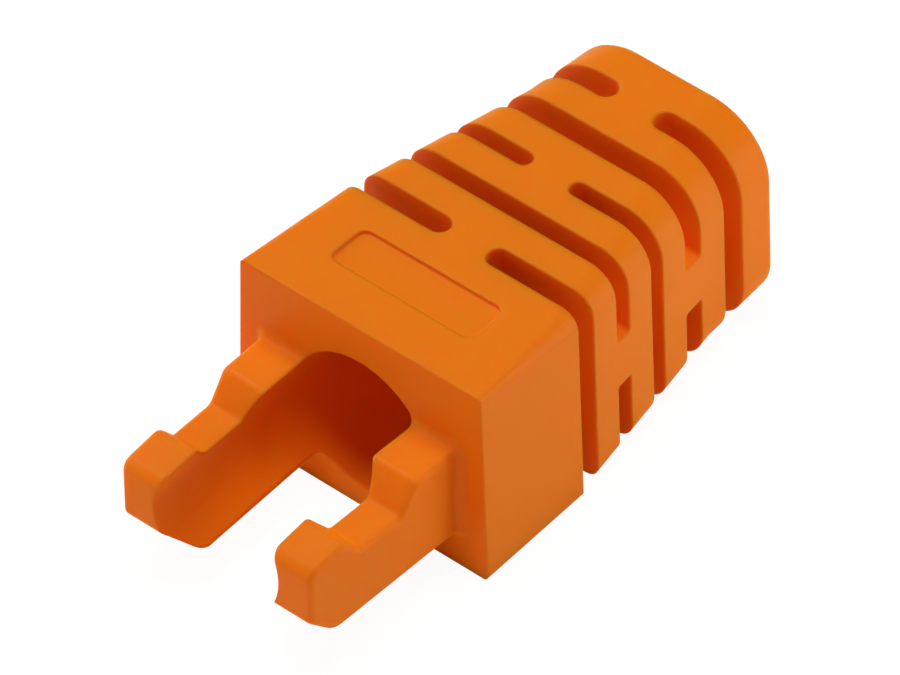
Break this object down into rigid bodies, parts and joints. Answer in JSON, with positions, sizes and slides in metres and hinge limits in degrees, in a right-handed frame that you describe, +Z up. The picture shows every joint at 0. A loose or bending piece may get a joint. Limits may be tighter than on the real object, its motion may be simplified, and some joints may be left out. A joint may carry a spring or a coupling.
{
  "type": "strain relief boot",
  "caption": "Soft plug boot: a square head with a through bore, forward gripping prongs and a tapering slotted tail that bends with the cable.",
  "frame": {"origin": "centre of the footprint at the height of the head's underside", "axes": "+Y along the bore towards the cable end, +Z up from the head's underside to the face with the label recess, +X across the boot's width"},
  "size_m": [0.012, 0.026, 0.009],
  "materials": {
    "boot": "satin"
  },
  "bodies": {
    "root": {"boot": "boot"}
  },
  "joints": []
}
